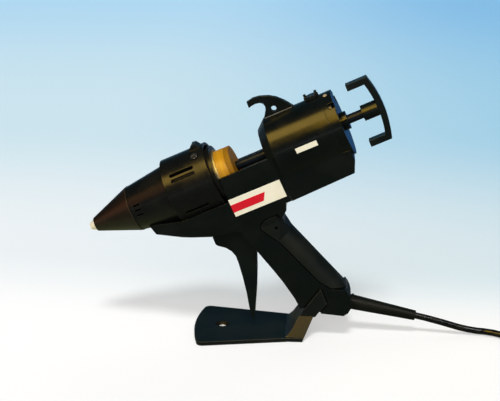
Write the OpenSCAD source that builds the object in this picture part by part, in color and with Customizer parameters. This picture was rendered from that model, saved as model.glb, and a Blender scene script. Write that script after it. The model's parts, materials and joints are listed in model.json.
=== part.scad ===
// Hot glue applicator for 43 mm slugs, standing on its bench stand.
// Millimetres. The origin is the bench screw hole on the bench top, +X runs to the rear, +Z up.
// The gun is symmetric about y = 0. Barrel pieces are drawn along the barrel axis: x = station, the
// distance behind the point of the nose, z = height above the axis, and in_barrel() puts them in place.

/* [Barrel] */
// Tilt of the barrel axis, degrees
barrel_tilt = 24.3; // [20:0.1:30]
// Point of the nose, along X from the bench hole
nozzle_x = -128; // [-150:1:-110]
// Point of the nose, height above the bench
nozzle_z = 107; // [95:1:130]
// Glue slug diameter
slug_d = 43; // [36:0.5:46]
// Glue slug length
slug_len = 43; // [30:1:50]
// Nozzle reach in front of the point of the nose
nozzle_out = 3; // [1:0.5:5]
// Front end of the nose cone, station
nose_front = 3; // [2:0.5:5]
// Rear end of the nose cone, station
nose_len = 47; // [35:1:60]
// Nose cone diameter at its rear rim
nose_d = 46.6; // [40:0.2:54]
// Nose cone diameter at the tip
nose_tip_d = 14.2; // [13:0.2:16]
// Nozzle shank diameter
nozzle_d = 12; // [9:0.5:12.5]
// Nozzle bore diameter
nozzle_bore = 8; // [6:0.5:8.5]
// Guard cone length in front of the collar
guard_len = 43; // [35:1:55]
// Guard cone wall
guard_wall = 2.5; // [1.5:0.1:3]
// Guard cone diameter under the collar front
guard_d = 58; // [56:0.5:60]
// Collar length
collar_len = 46; // [40:1:55]
// Collar wall
collar_wall = 2.5; // [1.5:0.1:4]
// Air gap between melt chamber and collar
collar_gap = 4.5; // [3:0.1:6]
// Collar slot width
slot_w = 3.4; // [1.5:0.1:4]
// Collar slot length
slot_len = 25; // [15:1:30]
// Melt chamber wall
chamber_wall = 4.5; // [3:0.1:5]
// Heater cartridge diameter
heater_d = 8; // [6:0.1:9]
// Heater cartridge length
heater_len = 28; // [20:1:29]

/* [Loading bay] */
// Open length of the bay behind the inlet
bay_len = 54; // [50:1:60]
// Clearance round the slug
bay_gap = 0.5; // [0.3:0.1:1]
// Wall beside the bay
bay_wall = 3; // [2:0.1:5]
// Inlet flange diameter
flange_d = 57; // [52:0.5:62]
// Inlet flange thickness
flange_t = 3.5; // [2.5:0.1:6]
// Inlet ring thickness
ring_t = 1.8; // [1:0.1:3]

/* [Rear housing] */
// Rear housing diameter
rear_d = 66; // [62:0.5:72]
// Rear housing wall
rear_wall = 2.5; // [2:0.1:4]
// Rear housing length, cylinder only
rear_len = 59; // [54:1:68]
// Front taper length
taper_len = 9; // [6:0.5:12]
// Rear cap length
cap_len = 10; // [9:0.5:14]
// Depth of the keel under the axis
keel_depth = 47; // [44:0.5:52]
// Gland diameter
gland_d = 18; // [14:0.5:22]
// Gland length outside the cap
gland_len = 5; // [3:0.5:7]
// Hanger hook thickness
hook_t = 5; // [3:0.5:7]
// Hanger hole diameter
hook_hole = 5.2; // [4:0.1:6]
// Dial diameter
dial_d = 14; // [11:0.5:16]
// Dial height
dial_h = 3.6; // [2.5:0.1:6]

/* [Plunger] */
// Plunger rod diameter
rod_d = 9; // [7:0.1:10]
// Piston diameter
piston_d = 42.4; // [34:0.2:43]
// Piston thickness
piston_t = 5; // [4:0.5:6]
// Pull handle height
handle_h = 64.5; // [56:0.5:72]
// Pull handle bar thickness
handle_t = 6; // [4:0.5:8]
// Pull handle depth along Y
handle_w = 11.5; // [9:0.5:15]
// Pull handle arm length
handle_arm = 23; // [16:0.5:25]
// Handle boss diameter
boss_d = 15.5; // [13:0.5:18]

/* [Trigger] */
// Trigger thickness along Y
trigger_w = 17; // [14:0.5:18]
// Trigger pivot, station
pivot_s = 133; // [131:0.5:136]
// Trigger pivot, depth under the barrel axis
pivot_r = 46; // [45:0.5:47]
// Pivot pin diameter
pivot_d = 6; // [4:0.5:7]
// Lever arm from the pivot pin to the drive pin
lever_arm = 15; // [14:0.5:16]
// Drive pin diameter
drive_pin_d = 4; // [3:0.5:4.5]
// Drive bar width along Y
bar_w = 8; // [6:0.5:9]

/* [Grip] */
// Grip thickness along Y
grip_w = 36; // [34:0.5:40]
// Radius of the palm swell
palm_r = 19; // [18.5:0.1:21]
// Grip cavity width along Y
cavity_w = 19; // [17.5:0.5:21]
// Outer shell wall under the barrel
shell_wall = 3; // [2:0.1:4]
// Groove round the palm panel
panel_gap = 0.8; // [0.4:0.1:1.4]
// Label length
label_len = 53.5; // [30:0.5:54]
// Label height
label_h = 18; // [10:0.5:20]
// Housing screw diameter
screw_d = 4; // [3:0.5:5]

/* [Stand] */
// Foot thickness
foot_t = 4; // [3:0.1:6]
// Foot half width at the front
foot_front = 45; // [38:0.5:52]
// Foot half width at the web
foot_rear = 30; // [26:0.5:34]
// Foot reach in front of the bench hole
foot_reach = 28; // [20:0.5:34]
// Bench hole diameter
bench_hole = 6.5; // [5:0.1:8]
// Bench hole countersink diameter
bench_sink = 12; // [10:0.1:13]
// Ear thickness
ear_t = 2.6; // [2:0.1:3]
// Groove round the ears
ear_gap = 2; // [0.6:0.1:2.4]

/* [Cord] */
// Cord diameter
cord_d = 6.5; // [6:0.1:6.6]
// Strain relief diameter at the housing
relief_d = 15; // [13:0.5:17]
// Strain relief diameter at the cord
relief_tip_d = 10; // [8:0.2:12]
// Strain relief length
relief_len = 66.5; // [50:0.5:70]

/* [Clearances] */
// Clearance of fixed fits
fit = 0.05; // [0.02:0.01:0.1]
// Clearance of the pivot and drive pins
run = 0.06; // [0.03:0.01:0.1]
// Clearance of sliding and swinging pieces
free = 0.4; // [0.3:0.05:0.8]

/* [Output] */
// Piece to draw

/* [Hidden] */
$fn = 64;
far = 400;

// Stations along the barrel
slug_r = slug_d / 2;
bay_r = slug_r + bay_gap;
body_half = bay_r + bay_wall;
chamber_r = bay_r + chamber_wall;
s_collar = nose_len + guard_len;
guard_lap = 6;
s_guard_end = s_collar + guard_lap;
// Radius of the guard cone, which runs under the collar by its lap
nose_step = 0.4;
guard_slope = (guard_d / 2 - nose_d / 2 + nose_step) / guard_len;
function guard_rad(s) = nose_d / 2 - nose_step + guard_slope * (s - nose_len);
// The collar goes over the chamber with its air gap, and over the guard cone
collar_in = max(chamber_r + collar_gap, guard_rad(s_guard_end) + free);
collar_r = collar_in + collar_wall;
s_collar_end = s_collar + collar_len;
seam = 0.5;
s_flange = s_collar_end + seam;
s_ring = s_flange + flange_t;
s_bay = s_ring + ring_t;
s_seam = s_bay + bay_len;
s_rear = s_seam + seam;
front_plate = 3.5;
s_cyl = s_rear + front_plate;
s_taper = s_cyl - taper_len;
s_cap = s_cyl + rear_len;
s_back = s_cap + cap_len;
s_gland = s_back + gland_len;
rear_r = rear_d / 2;
rear_in = rear_r - rear_wall;
taper_r = rear_r - 8;
ledge_r = 24.5;
ring_lip = 1.6;
// Top of the bay walls over the barrel axis
bay_lip = 0.3;
handle_back = 41.5;
s_handle = s_back + handle_back;
handle_arc = 111;
piston_back = 10.2;
s_piston = s_bay + piston_back;
boss_len = 21.5;
s_boss = s_handle - boss_len;
rod_in = 2;
rod_seat = 12;
rod_gap = 0.3;
dial_back = 50.5;
s_dial = s_cyl + dial_back;
dial_seat = rear_r - 0.9;
jam_back = 27;
s_jam = s_cyl + jam_back;
bar_over = 4;
bar_under = 5;
bar_top = -pivot_r + lever_arm + bar_over;
bar_low = -pivot_r + lever_arm - bar_under;
bar_front = 7;
bar_tail = 9;
jam_t = 3;
jam_half = 9;
// Floor of the trigger's fork under the drive bar, so that it clears the bar as it swings
fork_drop = 1.4;
stand_x = 88;
// The body is full width above the waist and grip width below it
waist_top = 43;
waist_low = 62;
cap_boss_r = 4.2;
screw_boss_r = screw_d / 2 + 2.4;
screw_boss_end = 11;
wide_boss_r = screw_d / 2 + 4.6;
screw_head_d = 7.6;
screw_head_h = 2.8;
head_gap = 0.4;
body_screw_len = 22.5;
stand_screw_len = 12;
stand_screw_y = 8;
stand_screw_top = 35.5;
web_top = 23;
relief_bore_len = 60;
serial_at = 20.5;
serial_h = 5;
serial_top = 1.2;
serial_len = 21.5;
band_len = 31.5;
band_slant = 4.5;
band_low = 4.5;
band_h = 7.9;
label_t = 0.4;
label_back = 2.3;
label_drop = 0.3;
// Rear end of the keel, upright on the bench
keel_end = s_back - 2.1;
keel_rise = 2.4;
keel_gap = 0.3;
keel_corner = keel_end - (keel_depth - keel_rise - rear_r - keel_gap) * tan(barrel_tilt);

// Point on the XZ plane for a station along the barrel and a height above its axis
function W(s, r) = [nozzle_x + s * cos(barrel_tilt) - r * sin(barrel_tilt),
    nozzle_z + s * sin(barrel_tilt) + r * cos(barrel_tilt)];
pivot = W(pivot_s, -pivot_r);

// Outline of the grip, front edge down, base, and back edge up
chin_z = 105.5;
grip_front = [[19.5, 110.5], [35.2, 91.5], [50.5, 73], [62, 58.5], [73.5, 41.5], [79, 31]];
grip_base = [[100, 26], [122, 24]];
// Height of the grip's base over the web, between the end of its front edge and the first base point
base_rise = (grip_base[0][1] - grip_front[5][1]) / (grip_base[0][0] - grip_front[5][0]);
function base_z(x) = grip_front[5][1] + base_rise * (x - grip_front[5][0]);
// Web of the stand from the side, and the hollow behind it
web_rear = 94.5;
web_fore = 82.5;
web_pts = [[64, 0.5], [82, 0.5], [web_rear, base_z(web_rear)], [web_fore, base_z(web_fore)], [77, 21],
    [71, 10], [67, foot_t + 1.5], [64, foot_t - 0.5]];
web_hollow_pts = [[72, foot_t], [110, foot_t], [110, web_top], [84, web_top]];
web_high = 31;
web_wall = 3.5;
grip_heel = [[126.5, 27], [129, 32], [129.2, 39], [128, 44], [125.5, 49]];
grip_back = [[118.6, 58.6], [106.9, 72.8], [95.4, 84.7], [78.1, 102.3], [67.9, 112.8],
    [62.7, 118.6], [60.4, 124.6], [61.5, 129], [64.5, 133.5]];
body_pts = concat(
    [W(s_collar - 34.4, -17.7), [-62.5, chin_z], [-8, chin_z], [8, chin_z + 3.5]],
    grip_front, grip_base, grip_heel, grip_back,
    [W(s_seam - 6, -keel_depth), W(s_seam, -keel_depth), W(s_seam, bay_lip), W(s_ring + 0.2, bay_lip),
    W(s_ring + 0.2, -ledge_r), W(s_collar - 2, -ledge_r)]);
panel_pts = [[39.5, 116.5], [43.7, 122.8], [52.7, 127.4], [56.5, 129], [60.4, 124.6],
    [62.7, 118.6], [67.9, 112.8], [78.1, 102.3], [95.4, 84.7], [106.9, 72.8], [118.6, 58.6],
    [124, 51.6], [108.9, 53], [97.9, 60], [85, 73.1], [71.4, 87.2], [59.6, 99.4], [41, 112.5]];
cavity_pts = [[30, 112], [44, 92], [62, 68], [72, 50], [83, 36], [104, 31], [120, 30], [120, 42],
    [112, 52], [96, 70], [78, 90], [60, 108], [50, 122], [36, 126]];
slot_pts = [[-10, 96], [-10, 124], [36, 124], [50, 104], [58, 80], [56, 66], [44, 72], [20, 100]];
ear_pts = [[98.8, 51.3], [105, 36], [98.8, 28.9], [94, 22], [82, 22], [83.2, 30]];
// Trigger outline from its pivot
trigger_pts = [[-20.4, -19.8], [-17.6, -27], [-15.3, -28.4], [-7.4, -30.3], [-1.7, -33.8],
    [2.3, -38.6], [5, -45.8], [9.1, -60.3], [13.1, -77.5], [15.4, -91.1], [17.7, -102.3],
    [20, -106.7], [21.1, -102.2], [21.7, -92.2], [22.8, -73.4], [23.1, -55], [22.7, -33.2],
    [20, -16], [10, 0], [-7, 0], [-19, -14]];
// Hook outline: station and height over the axis, both from its foot
hook_pts = [[-7.7, 21.2], [-7.9, 15.1], [-4.8, 15.9], [-0.6, 16.4], [3.7, 15.5], [6.2, 13.5],
    [6.9, 10.1], [5.9, 7.2], [3.1, 3], [1, 0], [1, -1.5], [31.5, -1.5], [32, 0], [30, 2.9],
    [25.9, 8.7], [19.9, 14.7], [13.7, 18.6], [5.1, 21.7], [-1.2, 22.4]];
// Slope of the palm and a point on its back
palm_tilt = 136.9;
palm_back = [95.4, 84.7];
// The last screw passes under the drive bar
screw_at = [[55, 115], [74, 60], [118.5, 46], W(pivot_s + 32, bar_low - wide_boss_r + 0.6)];

// Foot outline: bowed front, round front corners, straight sides
foot_bow_r = 148;
foot_corner = 6;
foot_turn = 15;
foot_edge = foot_front - foot_corner * (1 - sin(foot_turn));
function foot_bow(y) = foot_bow_r - foot_reach - sqrt(pow(foot_bow_r, 2) - pow(y, 2));
function foot_round(side, a) = [foot_bow(foot_edge) + foot_corner * (cos(foot_turn) + cos(a)),
    side * (foot_edge - foot_corner * (sin(foot_turn) + sin(a)))];
foot_pts = concat(
    [for (i = [6 : -1 : -6]) [foot_bow(foot_edge * i / 6), foot_edge * i / 6]],
    [for (a = [205 : 15 : 280]) foot_round(-1, a)],
    [[68, -foot_rear], [82, -foot_rear], [82, foot_rear], [68, foot_rear]],
    [for (a = [280 : -15 : 205]) foot_round(1, a)]);

// Cord route, chosen by hand: out of the grip in the mid-plane of the gun, down to the bench,
// and in two arcs over to the near side of the coil
relief_root = [128.5, 32.6];
relief_tilt = 11.6;
cord_r = cord_d / 2;
relief_root_r = cord_r + 4.2;
cord_route = [[107, 0, 37.01], [114, 0, 35.58], [121, 0, 34.14], [128.5, 0, 32.6], [145, 0, 29.21],
    [161, 0, 25.93], [177, 0, 22.65], [193.6, 0, 19.24], [203, 0, 17.2], [212, 0, 14.9],
    [221, 0, 12.5], [230, 0, 9.9], [239, 0, 7.4], [247, 0, 5.7]];
// The spare cord lies in a coil beyond the route, wound in and out in two layers
coil_x = 358;
coil_r = 58;
lay_z = 3.5;
coil_pitch = 7.1;
coil_z = 4.3;
coil_step = 7.3;
coil_in = 4.5;
coil_turns = 9 + 1 / 12;
coil_rings = 24;
coil_least = coil_rad(coil_in);
coil_end = coil_point(coil_turns);
tie_t = 1;
tie_gap = 0.4;
tie_far = cord_r + tie_gap + tie_t;
// The tail runs on straight into the plug, which lies beside the coil
plug_turn = 30;
tail_len = 51;
plug_at = 42;
plug_z = coil_z + coil_step;
// The two arcs between the route and the coil
swing_x = 256;
swing_sum = (pow(coil_x - swing_x, 2) + pow(coil_r, 2)) / 2 / coil_r;
swing_turn = asin((coil_x - swing_x) / swing_sum);
swing_out = 0.38 * swing_sum;
swing_back = swing_sum - swing_out;
function swing_z(i) = lay_z + (coil_z - lay_z) * pow(1 - i / 6, 2);
swing_pts = concat(
    [for (i = [0 : 5]) let (a = swing_turn * i / 6)
        [swing_x + swing_out * sin(a), -swing_out * (1 - cos(a)), swing_z(i)]],
    [for (i = [6 : -1 : 0]) let (a = swing_turn * i / 6)
        [coil_x - swing_back * sin(a), swing_back * (1 - cos(a)) - coil_r, swing_z(i)]]);

function coil_rad(t) = t < coil_in ? coil_r - coil_pitch * t
    : coil_r - coil_pitch * coil_in + coil_pitch * (t - coil_in);
function ease(a) = a <= 0 ? 0 : a >= 1 ? 1 : a * a * (3 - 2 * a);
function coil_rise(t) = coil_step * ease((t - coil_in + 0.25) / 0.5);
function coil_point(t) = [coil_x + coil_rad(t) * cos(360 * t - 90),
    coil_rad(t) * sin(360 * t - 90), coil_z + coil_rise(t)];
coil_pts = concat([for (i = [0 : coil_turns * coil_rings - 1]) coil_point(i / coil_rings)],
    [for (i = [0 : 6]) coil_end + tail_len * i / 6 * [cos(plug_turn), sin(plug_turn), 0]]);

function unit(v) = v / norm(v);
function heading(p, i) = unit(p[min(i + 1, len(p) - 1)] - p[max(i - 1, 0)]);
function ring_dir(p, i, ends) = i == 0 && len(ends) > 0 ? ends[0]
    : i == len(p) - 1 && len(ends) > 0 ? ends[1] : heading(p, i);
function ring(c, t, up, r, n) = let (a = unit(cross(up, t)), b = cross(t, a))
    [for (k = [0 : n - 1]) c + r * (cos(360 * k / n) * a + sin(360 * k / n) * b)];

// Tube of n sides through points p, its flat ends square to the path or to the two given directions
module tube(p, r, n, ends = []) {
    m = len(p);
    pts = [for (i = [0 : m - 1]) each ring(p[i], ring_dir(p, i, ends), [0, 0, 1], r, n)];
    sides = [for (i = [0 : m - 2], k = [0 : n - 1]) each [
        [i * n + k, (i + 1) * n + k, i * n + (k + 1) % n],
        [i * n + (k + 1) % n, (i + 1) * n + k, (i + 1) * n + (k + 1) % n]]];
    front = [for (k = [1 : n - 2]) [0, k, k + 1]];
    back = [for (k = [1 : n - 2]) [(m - 1) * n, (m - 1) * n + k + 1, (m - 1) * n + k]];
    polyhedron(points = pts, faces = concat(sides, front, back), convexity = 10);
}

// Compression spring along +Z: mean radius, wire radius, length and curls
function coil_spring(r, wire, length, curls) = [for (i = [0 : curls * 8])
    [r * cos(45 * i), r * sin(45 * i), wire + (length - 2 * wire) * i / (curls * 8)]];
module spring(r, wire, length, curls) {
    tube(coil_spring(r, wire, length, curls), wire, 6);
}

// Least gap between turns of the coil, measured on its centre points
coil_gap = min([for (i = [0 : len(coil_pts) - 1], j = [i + 12 : 1 : len(coil_pts) - 1])
    norm(coil_pts[i] - coil_pts[j])]) - cord_d;
echo(coil_gap = coil_gap);

module in_barrel() translate([nozzle_x, 0, nozzle_z]) rotate([0, -barrel_tilt, 0]) children();

// Turned piece along the barrel: points are [station, radius]
module turned(pts, sides = 96) rotate([0, 90, 0]) rotate([0, 0, 180])
    rotate_extrude($fn = sides) polygon([for (p = pts) [p[1], p[0]]]);

// Cylinder along the barrel between two stations
module along(s0, s1, r, r2 = -1, sides = 96) translate([s0, 0, 0]) rotate([0, 90, 0])
    cylinder(h = s1 - s0, r1 = r, r2 = r2 < 0 ? r : r2, $fn = sides);

// Side profile in the XZ plane, between two y values
module side(y0, y1) translate([0, y1, 0]) rotate([90, 0, 0]) linear_extrude(y1 - y0) children();

// Cylinder along Y at a point of the XZ plane
module cross_pin(at, r, y0, y1) translate([at[0], y0, at[1]]) rotate([-90, 0, 0])
    cylinder(h = y1 - y0, r = r);

// Block between two corners
module block(a, b) translate(a) cube(b - a);

// Cross-head screw along -Z, its head standing on z = 0
module screw(d, length, head_d, head_h) {
    difference() {
        union() {
            translate([0, 0, -length]) cylinder(h = length + 0.5, d = d, $fn = 32);
            cylinder(h = head_h, d = head_d, $fn = 48);
        }
        for (a = [0, 90]) rotate([0, 0, a])
            translate([-head_d * 0.3, -0.45, head_h - 1.1]) cube([head_d * 0.6, 0.9, 2]);
    }
}

// Front end

module nozzle() color("goldenrod") in_barrel() turned([[-nozzle_out, 1.5], [-nozzle_out, 3.2],
    [nose_front - 0.5, nozzle_d / 2],
    [nose_len + 9, nozzle_d / 2], [nose_len + 9, nozzle_bore / 2], [8, nozzle_bore / 2], [4, 1.5]]);

module valve_ball() color("silver") in_barrel()
    translate([7.2, 0, 0]) sphere(d = nozzle_bore - 2.4, $fn = 48);

module valve_spring() color("silver") in_barrel() translate([9.3, 0, 0]) rotate([0, 90, 0])
    spring(nozzle_bore / 2 - 1, 0.4, nose_len - 0.4, 16);

module nose_cone() color("dimgray") in_barrel() turned([[nose_front, nozzle_d / 2 + fit],
    [nose_front, nose_tip_d / 2],
    [nose_len - 3, nose_d / 2 - 0.9], [nose_len, nose_d / 2], [nose_len, nose_d / 2 - 3.5],
    [nose_len - 5, nose_d / 2 - 3.5], [nose_len - 5, nose_d / 2 - 5], [16, nozzle_d / 2 + fit]]);

// The vents pass through the guard wall beside the nose rim
module guard_cone() color("black") in_barrel() difference() {
    union() {
        turned([[nose_len + 0.6, nose_d / 2 - 6], [nose_len + 0.6, guard_rad(nose_len)],
            [s_guard_end, guard_rad(s_guard_end)], [s_guard_end, guard_rad(s_guard_end) - guard_wall],
            [nose_len + 4, guard_rad(nose_len + 4) - guard_wall], [nose_len + 4, nose_d / 2 - 6]]);
        turned([[nose_len - 4.8, nose_d / 2 - 6], [nose_len - 4.8, nose_d / 2 - 3.5 - fit],
            [nose_len + 1, nose_d / 2 - 3.5 - fit], [nose_len + 1, nose_d / 2 - 6]]);
    }
    for (m = [-1, 1], a = [72, 84, 96]) rotate([m * a, 0, 0])
        block([nose_len + 4.5, -0.9, nose_d / 2 - 4], [nose_len + 11.5, 0.9, nose_d / 2 + 4]);
    // Open below for the heater block
    block([s_collar - 6, -15, -far], [s_guard_end + 1, 15, 0]);
}

// Heat guard over the chamber, with a moulded hump on top and two slots high and one low each side
module collar() color("black") in_barrel() difference() {
    union() {
        along(s_collar, s_collar_end, collar_r);
        side(-7, 7) polygon([[s_collar + 31.5, 0], [s_collar + 31.5, collar_r],
            [s_collar + 36, collar_r + 4.2],
            [s_collar + 39.5, collar_r + 3.6], [s_collar + 42.5, collar_r - 0.4], [s_collar + 42.5, 0]]);
    }
    along(s_collar - 1, s_collar_end + 1, collar_in);
    block([s_collar - 1, -far, -far], [s_collar_end + 1, far, -ledge_r]);
    for (m = [-1, 1], a = [50, 60, 121]) rotate([m * a, 0, 0]) {
        block([s_collar + 8 + slot_w / 2, -slot_w / 2, collar_in - 3],
            [s_collar + 8 + slot_len - slot_w / 2, slot_w / 2, collar_r + 3]);
        for (s = [s_collar + 8 + slot_w / 2, s_collar + 8 + slot_len - slot_w / 2])
            translate([s, 0, collar_in - 3]) cylinder(h = collar_wall + 6, d = slot_w, $fn = 24);
    }
    collar_screw_place() {
        translate([0, 0, collar_in - 3]) cylinder(h = collar_wall + 6, d = screw_d + 2 * fit, $fn = 32);
        translate([0, 0, collar_r - 1]) cylinder(h = 8, d = 8.4, $fn = 48);
    }
}

module collar_screw_place() for (m = [-1, 1]) rotate([m * 32, 0, 0])
    translate([s_collar + 36.5, 0, 0]) children();

module collar_screws() color("silver") in_barrel() collar_screw_place()
    translate([0, 0, collar_r - 1]) screw(screw_d, collar_r - 1 - chamber_r + 2.5, 6.6, 2.2);

module melt_chamber() color("lightgray") in_barrel() difference() {
    union() {
        turned([[nose_len + 0.5, nozzle_d / 2 + fit], [nose_len + 0.5, 13], [nose_len + 9, 13],
            [nose_len + 23, 20], [s_guard_end - 5, 25], [s_guard_end, chamber_r],
            [s_flange, chamber_r], [s_flange, bay_r], [s_collar + 4, bay_r],
            [nose_len + 13, nozzle_bore / 2 - 1.4], [nose_len + 9, nozzle_bore / 2 - 1.4],
            [nose_len + 9, nozzle_d / 2 + fit]]);
        difference() {
            block([s_collar - 4, -14, -35.5], [s_collar + 26, 14, -bay_r + 2]);
            along(s_collar - 5, s_flange, bay_r + 1);
        }
    }
    for (y = [-8, 8]) translate([0, y, -30])
        along(s_collar + 26 - heater_len, s_collar + 27, heater_d / 2 + fit, sides = 48);
    collar_screw_place() translate([0, 0, chamber_r - 2.7]) cylinder(h = 10, d = screw_d + 2 * fit, $fn = 32);
    bar_way(trigger_w / 2 + free);
}

module heater(y) color("silver") in_barrel() translate([0, y, -30])
    along(s_collar + 26 - heater_len + 0.2, s_collar + 26.2, heater_d / 2, sides = 48);
module heater_near() heater(-8);
module heater_far() heater(8);

module thermostat() color("ivory") in_barrel() translate([s_collar + 16, 0, -41])
    cylinder(h = 5.5, d = 15, $fn = 48);

module thermal_fuse() color("white") in_barrel() translate([0, 11, -37.5])
    along(s_collar + 6, s_collar + 18, 2, sides = 32);

module inlet_flange() color("black") in_barrel() difference() {
    along(s_flange, s_ring, flange_d / 2);
    along(s_flange - 1, s_ring + 1, bay_r);
    block([s_flange - 1, -far, -far], [s_ring + 1, far, -ledge_r]);
    bar_way(bar_w / 2 + free);
}

module inlet_ring() color("silver") in_barrel() difference() {
    along(s_ring, s_bay, bay_r + ring_lip);
    along(s_ring - 1, s_bay + 1, bay_r);
    bar_way(bar_w / 2 + free);
}

// Body shells

module panel_2d() polygon(panel_pts);
// Backing of the panels, set in from the back of the grip
module panel_core_2d() translate([-3.65, -3.42]) panel_2d();

// Narrows from one half width to another under the bay, along the whole barrel
module waist(top, low) in_barrel() rotate([90, 0, 90]) linear_extrude(2 * far, center = true)
    polygon([[-top, far], [-top, -waist_top], [-low, -waist_low], [-low, -far],
        [low, -far], [low, -waist_low], [top, -waist_top], [top, far]]);

// Solid of both halves, before hollowing
module body_block() intersection() {
    side(-body_half, body_half) polygon(body_pts);
    waist(body_half, grip_w / 2);
    // Narrows to the chin in front
    linear_extrude(2 * far, center = true) polygon([[-72, -16], [-36, -body_half],
        [far, -body_half], [far, body_half], [-36, body_half], [-72, 16]]);
}

// With the seats of the guard cone, chamber and inlet ring, and the bay
module body_bored() difference() {
    body_block();
    in_barrel() turned([[nose_len - 1, 0], [nose_len - 1, guard_rad(nose_len - 1) + 0.2],
        [s_guard_end, guard_rad(s_guard_end) + 0.2], [s_guard_end, chamber_r + 0.5],
        [s_ring, chamber_r + 0.5], [s_ring, bay_r + ring_lip + fit], [s_bay, bay_r + ring_lip + fit],
        [s_bay, bay_r], [s_seam + 1, bay_r], [s_seam + 1, 0]]);
}

module body_hollow() {
    // Under the barrel and the bay
    in_barrel() {
        block([s_collar - 2, -body_half + shell_wall, -keel_depth + shell_wall],
            [s_seam + 1, body_half - shell_wall, -bay_r - shell_wall]);
        block([s_collar - 2, -body_half + shell_wall, -bay_r - shell_wall - 1],
            [s_ring - 0.3, body_half - shell_wall, -20]);
    }
    // Round the heater block, and down to the trigger slot
    side(-16, 16) polygon([W(s_collar - 8, -20), W(s_collar + 4, -20), W(s_seam - 16, -keel_depth + 4),
        [48, 128], [22, chin_z + 9], [-8, chin_z + 3], [-38, chin_z + 3]]);
    side(-cavity_w / 2, cavity_w / 2) polygon(cavity_pts);
    side(-trigger_w / 2 - 1, trigger_w / 2 + 1) polygon(slot_pts);
}

// Way of the drive bar and the lever that moves it, along the barrel
module bar_way(half) block([pivot_s - lever_arm, -half, bar_low - run], [s_seam + 1, half, bar_top + run]);

module body_solid() difference() {
    union() {
        difference() {
            body_bored();
            body_hollow();
            // Pocket of the palm panels
            side(-far, far) {
                panel_2d();
                translate([-panel_gap, -panel_gap]) panel_2d();
                translate([-panel_gap, panel_gap]) panel_2d();
            }
            // Ear recesses
            for (m = [0, 1]) mirror([0, m, 0]) side(-far, -grip_w / 2 + ear_t + 0.4) {
                polygon(ear_pts);
                for (d = [[-1, 1], [1, 1], [1, -0.5]]) translate(ear_gap * d) polygon(ear_pts);
            }
        }
        difference() {
            side(-12, 12) panel_core_2d();
            side(-cavity_w / 2, cavity_w / 2) polygon(cavity_pts);
        }
        // Pivot bosses, rib under the drive bar and screw bosses
        for (m = [0, 1]) mirror([0, m, 0])
            cross_pin(pivot, pivot_d / 2 + 3, -body_half + 2, -trigger_w / 2 - free);
        in_barrel() block([pivot_s + 22, -body_half + 2, -keel_depth + 2],
            [pivot_s + 26, body_half - 2, bar_low - run]);
        for (p = screw_at) cross_pin(p, screw_boss_r, -screw_boss_end, screw_boss_end);
        cross_pin(screw_at[3], wide_boss_r, -body_half + 2, body_half - 2);
    }
    in_barrel() bar_way(bar_w / 2 + free);
    for (m = [0, 1]) mirror([0, m, 0]) cross_pin(pivot, pivot_d / 2, -body_half + 3, 0);
    for (p = screw_at) {
        cross_pin(p, screw_d / 2 + fit, -screw_boss_end - 0.5, far);
        cross_pin(p, screw_head_d / 2 + head_gap, screw_boss_end + 0.5, far);
    }
    relief_place() cylinder(h = relief_bore_len, r = relief_root_r + fit, center = true, $fn = 48);
    for (y = [-1, 1] * stand_screw_y) translate([stand_x, y, 0])
        cylinder(h = stand_screw_top, d = screw_d + 2 * fit, $fn = 32);
}

module body_near() color([0.12, 0.12, 0.13]) intersection() {
    body_solid();
    block([-far, -far, -far], [far, 0, far]);
}
module body_far() color([0.16, 0.16, 0.17]) intersection() {
    body_solid();
    block([-far, 0, -far], [far, far, far]);
}

// Palm swell: round along the back of the grip, and wider towards the tang
module palm()
    translate([palm_back[0] - palm_r * sin(palm_tilt - 90), 0, palm_back[1] - palm_r * cos(palm_tilt - 90)])
    rotate([0, palm_tilt, 0]) {
        cylinder(h = far, r = palm_r, center = true, $fn = 128);
        translate([0, 0, -70]) cylinder(h = 32, r1 = palm_r + 12, r2 = palm_r, $fn = 128);
    }

module panels() difference() {
    intersection() {
        side(-far, far) panel_2d();
        waist(body_half, palm_r);
        palm();
    }
    side(-12 - fit, 12 + fit) panel_core_2d();
    for (p = screw_at) {
        cross_pin(p, screw_boss_r + fit, -screw_boss_end - fit, screw_boss_end + fit);
        cross_pin(p, screw_head_d / 2 + head_gap, 0, far);
        cross_pin(p, 1.6, -far, 0);
    }
}
module panel_near() color([0.2, 0.2, 0.21]) intersection() {
    panels();
    block([-far, -far, -far], [far, 0, far]);
}
module panel_far() color([0.2, 0.2, 0.21]) intersection() {
    panels();
    block([-far, 0, -far], [far, far, far]);
}

module body_screws() color("silver") for (p = screw_at)
    translate([p[0], screw_boss_end + 0.5, p[1]]) rotate([-90, 0, 0])
        screw(screw_d, body_screw_len, screw_head_d, screw_head_h);

// Rear housing

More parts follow.
